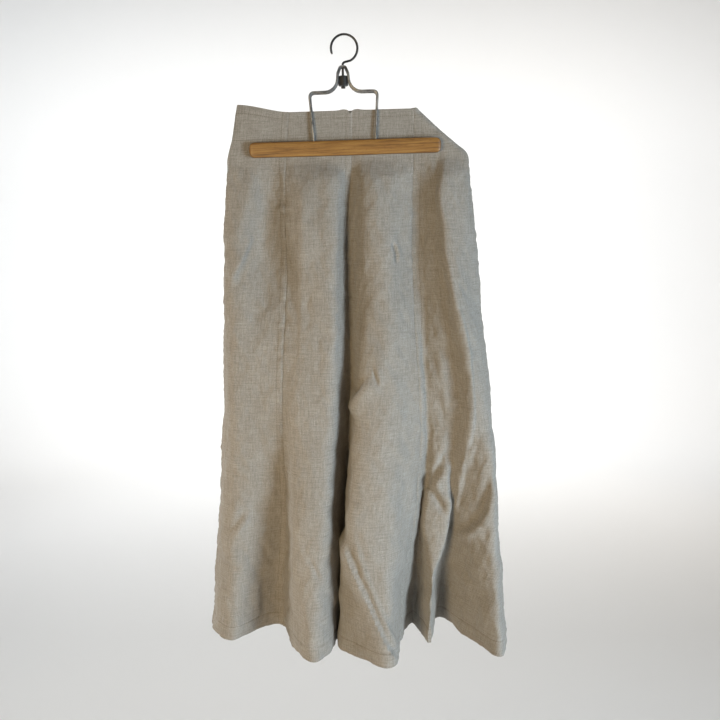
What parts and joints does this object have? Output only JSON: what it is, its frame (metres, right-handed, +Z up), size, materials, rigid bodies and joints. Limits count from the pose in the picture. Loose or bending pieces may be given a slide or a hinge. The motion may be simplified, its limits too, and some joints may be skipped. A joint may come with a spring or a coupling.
{
  "type": "maxi skirt on a clamp hanger",
  "caption": "Flared linen maxi skirt in long gores, gripped flat at the waist by a wooden clamp hanger and falling in deep flutes to an open hem.",
  "frame": {"origin": "the inner top of the hook, where it rests on a rail", "axes": "+X across the waist towards the shown side's right, +Y away from the shown side, +Z up"},
  "size_m": [0.5206, 0.2855, 1.0043],
  "materials": {
    "linen": "matt undyed linen, plain weave with slubs",
    "wood": "clear satin varnish",
    "frame_wire": "dull plated wire",
    "barrel": "matt black",
    "hook_wire": "dark wire"
  },
  "bodies": {
    "root": {"side_front_left": "linen", "front_left": "linen", "front_right": "linen", "side_front_right": "linen", "side_back_right": "linen", "back_right": "linen", "back_left": "linen", "side_back_left": "linen", "jaw_front": "wood", "jaw_back": "wood", "frame_front": "frame_wire", "frame_back": "frame_wire", "neck_barrel": "barrel", "hook": "hook_wire"}
  },
  "joints": []
}
